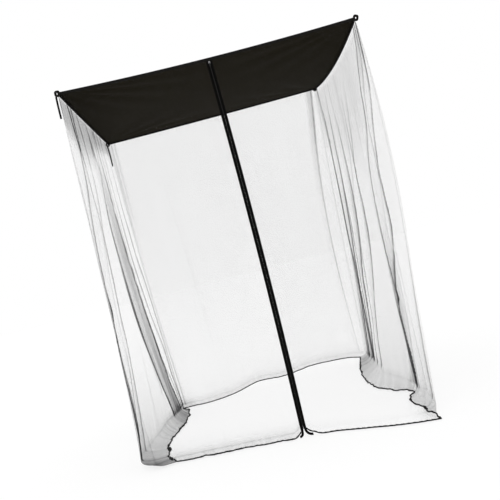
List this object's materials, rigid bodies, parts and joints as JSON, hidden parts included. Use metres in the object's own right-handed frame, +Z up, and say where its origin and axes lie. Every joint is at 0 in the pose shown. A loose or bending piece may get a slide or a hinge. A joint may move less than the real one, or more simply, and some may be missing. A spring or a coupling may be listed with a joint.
{
  "type": "hanging chair mosquito net",
  "caption": "Box of fine black netting under a square cloth roof, hung by loops at its corners over a hanging chair, with a zip down the front and its hem on the floor.",
  "frame": {"origin": "middle of the outer box of the net in X and Y, at floor level", "axes": "+Z up, +Y from the zipped front to the back, +X to the right seen from the front"},
  "size_m": [1.7332, 1.922, 2.0839],
  "materials": {
    "roof_cloth": "matt dense woven cloth",
    "netting": "fine sheer knitted net",
    "binding_tape": "woven tape, stitched",
    "webbing": "rolled woven webbing",
    "zip_tape": "woven zip tape",
    "zip_coil": "satin coil",
    "zip_metal": "satin die-cast metal"
  },
  "bodies": {
    "root": {"corner_loop_back_left": "webbing", "corner_loop_back_right": "webbing", "corner_loop_front_left": "webbing", "corner_loop_front_right": "webbing", "hem_binding_back": "binding_tape", "hem_binding_front_left": "binding_tape", "hem_binding_front_right": "binding_tape", "hem_binding_left": "binding_tape", "hem_binding_right": "binding_tape", "netting_back": "netting", "netting_front_left": "netting", "netting_front_right": "netting", "netting_left": "netting", "netting_right": "netting", "roof_binding_back": "binding_tape", "roof_binding_front": "binding_tape", "roof_binding_left": "binding_tape", "roof_binding_right": "binding_tape", "roof_panel": "roof_cloth", "tie_back_left": "webbing", "tie_front_left": "webbing", "zip_pull": "zip_metal", "zip_slider": "zip_metal", "zip_tape_left": "zip_tape", "zip_tape_right": "zip_tape", "zip_teeth": "zip_coil"}
  },
  "joints": []
}
